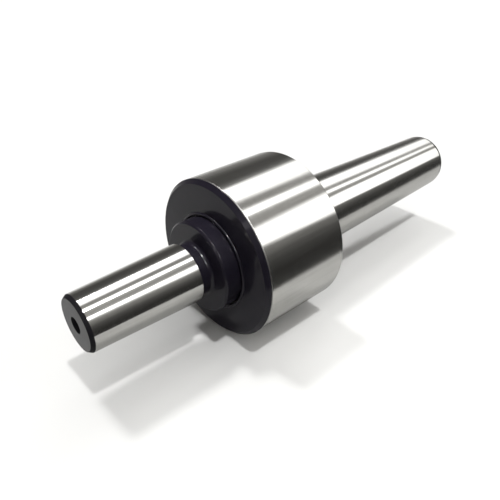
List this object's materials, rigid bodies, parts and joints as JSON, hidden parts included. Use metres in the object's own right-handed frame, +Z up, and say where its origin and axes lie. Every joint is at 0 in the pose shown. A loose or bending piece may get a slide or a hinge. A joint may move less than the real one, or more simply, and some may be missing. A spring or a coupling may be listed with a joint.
{
  "type": "live center",
  "caption": "Lathe tailstock live center: a Morse taper shank and ground bearing housing carry a rotating black collar and a ground short-taper nose for a drill chuck.",
  "frame": {"origin": "centre of the shank taper's large end, in the Morse taper no. 3 gauge plane, on the axis of rotation", "axes": "+X along the axis of rotation towards the nose taper, +Z up; every outer surface is turned about X, so the object lies with X level on the round housing"},
  "size_m": [0.1517, 0.049, 0.049],
  "materials": {
    "ground_steel": "polished",
    "spindle_steel": "polished",
    "black_oxide_steel": "satin",
    "bearing_steel": "polished",
    "bearing_balls": "polished",
    "shield_steel": "satin",
    "spring_steel": "satin",
    "cage_polymer": "matte",
    "cage_brass": "satin",
    "nitrile_rubber": "matte",
    "felt": "matte"
  },
  "bodies": {
    "stationary": {"shank_housing": "ground_steel", "front_cover": "black_oxide_steel", "cover_o_ring": "nitrile_rubber", "felt_seal": "felt", "preload_spring_washer": "spring_steel", "front_bearing_outer_ring": "bearing_steel", "front_bearing_front_shield": "shield_steel", "front_bearing_rear_shield": "shield_steel", "thrust_housing_washer": "bearing_steel", "needle_cup": "bearing_steel"},
    "rotating": {"spindle": "spindle_steel", "spindle_circlip": "spring_steel", "front_bearing_inner_ring": "bearing_steel", "thrust_shaft_washer": "bearing_steel"},
    "front_ball_set": {"front_bearing_balls": "bearing_balls", "front_bearing_cage": "cage_polymer"},
    "thrust_ball_set": {"thrust_balls": "bearing_balls", "thrust_cage": "cage_brass"},
    "needle_set": {"needle_rollers": "bearing_balls", "needle_cage": "cage_polymer"}
  },
  "joints": [
    {"name": "spindle_spin", "type": "hinge", "parent": "stationary", "child": "rotating", "pos_m": [0, 0, 0], "axis": [1, 0, 0], "continuous": true},
    {"name": "front_ball_orbit", "type": "hinge", "parent": "stationary", "child": "front_ball_set", "pos_m": [0.0233, 0, 0], "axis": [1, 0, 0], "continuous": true},
    {"name": "thrust_ball_orbit", "type": "hinge", "parent": "stationary", "child": "thrust_ball_set", "pos_m": [0.0121, 0, 0], "axis": [1, 0, 0], "continuous": true},
    {"name": "needle_orbit", "type": "hinge", "parent": "stationary", "child": "needle_set", "pos_m": [-0.014, 0, 0], "axis": [1, 0, 0], "continuous": true}
  ],
  "couplings": [
    {"joint": "front_ball_orbit", "follows": "spindle_spin", "ratio": 0.41646},
    {"joint": "thrust_ball_orbit", "follows": "spindle_spin", "ratio": 0.5},
    {"joint": "needle_orbit", "follows": "spindle_spin", "ratio": 0.43478}
  ]
}
